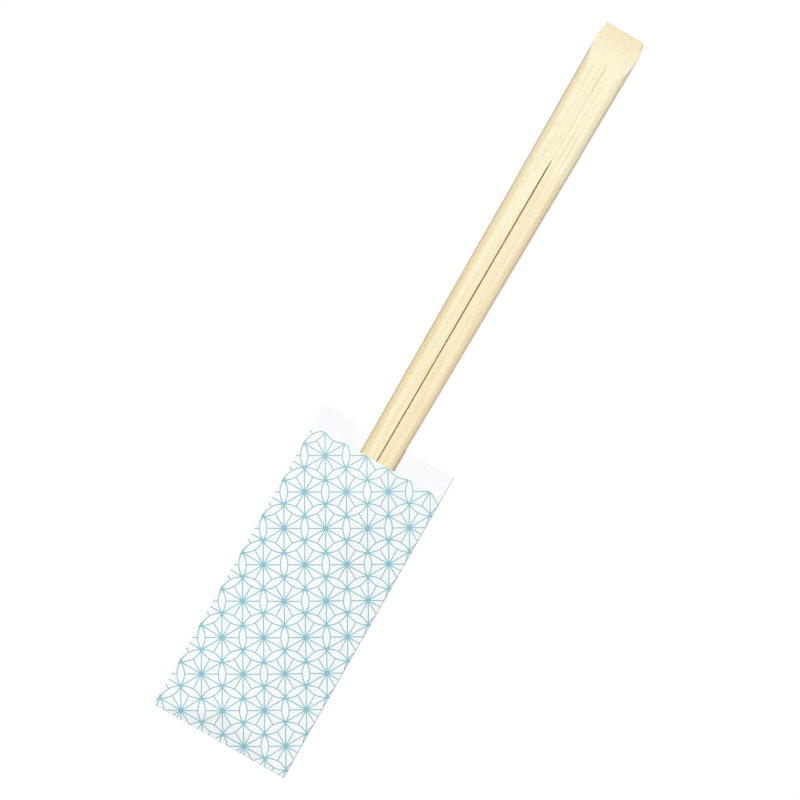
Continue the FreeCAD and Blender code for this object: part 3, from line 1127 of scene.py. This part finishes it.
    def add_fold(self, hand: int) -> None:
        """Adds one side fold.

        Args:
            hand: -1 for the left side and 1 for the right one.
        """
        sheet = []
        for along in self.rows:
            edge, row = self.fold_x(along), []
            for angle in np.linspace(0.0, math.pi, self.fold_steps + 1):
                across = hand * (edge + self.fold_radius * math.sin(angle))
                height = self.back_height + self.fold_radius * (1 - math.cos(angle))
                flat = hand * (edge + self.fold_radius * (math.pi - angle))
                row.append(self.work.point(across, along, height,
                                           blank=(flat, along, self.fold_shaded(hand))))
            sheet.append(row)
        self.work.weave(sheet, turned=hand > 0)

    def put_back(self, across: float, along: float, hand: int, drop: float = 0.0,
                 fold_shade: float = 0.0) -> int:
        """Adds a point of the back panel.

        Args:
            across: The place across.
            along: The place along.
            hand: -1 for paper that comes round the left fold, and 1 for the right one.
            drop: How far below the panel it lies.
            fold_shade: How much painted shade the paper has there at a fold, from 0 to 1.

        Returns:
            The point's number.
        """
        flat = 2 * self.fold_x(along) + math.pi * self.fold_radius - hand * across
        return self.work.point(across, along, self.back_height - drop,
                               blank=(hand * flat, along, fold_shade))

    def add_left_back(self) -> None:
        """Adds the left of the back panel, which steps down into the lap's outer layer."""
        down = -self.lap_half - self.lap_step
        lap = np.linspace(down, self.lap_half, self.lap_steps + 1)
        panel, strip = [], []
        for along in self.rows + self.lip_rows[1:]:
            edge, under_flap = self.fold_x(along), along < self.flap_length
            drop = 0.0 if under_flap else self.paper
            flat = np.linspace(self.fold_shade_width - edge, down - self.joggle, self.left_steps + 1)
            row = [self.put_back(-edge, along, -1, fold_shade=self.left_fold_shade)]
            row += [self.put_back(across, along, -1) for across in flat]
            row.append(self.put_back(down - self.joggle / 2, along, -1, drop / 2))
            row.append(self.put_back(down, along, -1, drop))
            panel.append(row)
            if not under_flap:
                strip.append([self.put_back(across, along, -1, drop) for across in lap])
        self.work.weave(panel, turned=True)
        self.work.weave(strip, turned=True)

    def add_right_back(self) -> None:
        """Adds the right of the back panel, whose edge is the lap's inner layer."""
        sheet = []
        for along in self.rows + self.lip_rows[1:]:
            edge = self.fold_x(along)
            flat = np.linspace(-self.lap_half, edge - self.fold_shade_width, self.right_steps + 1)
            row = [self.put_back(across, along, 1) for across in flat]
            sheet.append(row + [self.put_back(edge, along, 1, fold_shade=self.right_fold_shade)])
        self.work.weave(sheet, turned=True)

    def add_lip_edge(self, hand: int) -> None:
        """Adds the last strip of the lip, out to the line of the side fold.

        Args:
            hand: -1 for the left side and 1 for the right one.
        """
        sheet = []
        for along in self.lip_rows:
            sheet.append([
                self.put_back(hand * reach, along, hand, fold_shade=self.fold_shaded(hand))
                for reach in (self.fold_x(along), self.half(along) - self.lip_trim)
            ])
        self.work.weave(sheet, turned=hand > 0)

    def thicken(self) -> None:
        """Turns the sheet's middle into paper of its true thickness."""
        weld = bmesh.new()
        weld.from_mesh(self.item.data)
        bmesh.ops.remove_doubles(weld, verts=weld.verts, dist=self.merge * MM)
        weld.to_mesh(self.item.data)
        weld.free()
        for _ in Side:
            self.item.data.materials.append(None)
        solid = self.item.modifiers.new("paper", "SOLIDIFY")
        solid.thickness = self.paper * MM
        solid.offset = 0.0
        solid.use_even_offset = True
        solid.material_offset = Side.INSIDE.value
        solid.material_offset_rim = Side.CUT_EDGE.value
        bpy.context.view_layer.update()
        seen = self.item.evaluated_get(bpy.context.evaluated_depsgraph_get())
        thick = bpy.data.meshes.new_from_object(seen)
        self.item.modifiers.remove(solid)
        thin, self.item.data = self.item.data, thick
        bpy.data.meshes.remove(thin)
        thick.name = self.item.name
        thick.shade_smooth()
        thick.set_sharp_from_angle(angle=self.sharp)

    def dress(self) -> None:
        """Gives the paper its printed outside, bare inside and cut edges, and its body."""
        names = {Side.OUTSIDE: "printed_paper_outside", Side.INSIDE: "bare_paper_inside",
                 Side.CUT_EDGE: "cut_paper_edge"}
        for side, name in names.items():
            self.item.data.materials[side.value] = PaperFinish(side).material(name)
        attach(self.item, BODY)
        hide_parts("paper_sleeve")


# The floor, the light and the camera


@dataclass
class Studio:
    """The white floor, the soft light from the picture's upper left, and the camera above."""

    pair: ChopstickPair
    floor_half: float = 3.0
    floor_height: float = -0.0001
    sky: float = 0.27
    sun: float = 2.31
    sun_spread: float = math.radians(14)
    sun_height: float = math.radians(81.5)
    sun_heading: float = math.radians(138)
    camera_place: tuple[float, float, float] = (-0.004013, -0.00677, 1.3539)
    camera_turn: float = math.radians(30.14)
    lens: float = 200.0
    clip: Span = (0.01, 20.0)

    def build(self) -> None:
        """Builds the floor, the lights and the camera."""
        self.add_floor()
        self.add_world()
        self.add_sun()
        self.add_camera()

    def add_floor(self) -> None:
        """Adds the floor, which isn't part of the object."""
        half, height = self.floor_half, self.floor_height
        data = bpy.data.meshes.new("floor")
        square = [(-half, -half, height), (half, -half, height), (half, half, height),
                  (-half, half, height)]
        data.from_pydata(square, [], [(0, 1, 2, 3)])
        data.materials.append(FloorFinish(self.pair.axis_x).material("white_floor"))
        placed("floor", data)

    def add_world(self) -> None:
        """Adds an even sky that looks white and lights the object gently."""
        world = bpy.data.worlds.new("studio")
        bpy.context.scene.world = world
        tree = Tree(world)
        light = tree.add("Background", inputs={"Color": WHITE, "Strength": self.sky})
        white = tree.add("Background", inputs={"Color": WHITE, "Strength": 1.0})
        both = tree.add("MixShader", inputs={
            0: seen_directly(tree), 1: light.outputs[0], 2: white.outputs[0]})
        tree.add("OutputWorld", inputs={"Surface": both.outputs[0]})

    def add_sun(self) -> None:
        """Adds one broad soft lamp."""
        data = bpy.data.lights.new("soft_key", "SUN")
        data.energy = self.sun
        data.angle = self.sun_spread
        lamp = placed("soft_key", data)
        lamp.rotation_euler = (0.0, math.pi / 2 - self.sun_height, self.sun_heading)

    def add_camera(self) -> None:
        """Adds the camera, straight above and turned as in the photograph."""
        data = bpy.data.cameras.new("camera")
        data.lens = self.lens
        data.clip_start, data.clip_end = self.clip
        camera = placed("camera", data)
        camera.location = self.camera_place
        camera.rotation_euler = (0.0, 0.0, self.camera_turn)
        bpy.context.scene.camera = camera


def main() -> None:
    """Builds every piece in order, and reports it."""
    logging.basicConfig(level=logging.INFO, format="%(message)s")
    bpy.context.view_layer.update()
    bpy.context.scene.view_settings.view_transform = "Standard"
    pair = ChopstickPair()
    for piece in (pair, PaperSleeve()):
        piece.build()
        piece.dress()
        data = piece.item.data
        LOG.info("%s: %d points, %d faces", data.name, len(data.vertices), len(data.polygons))
    Studio(pair).build()
    LOG.info("studio: floor, sky, one soft lamp and the camera")
    bpy.context.view_layer.update()


if __name__ == "__main__":
    main()
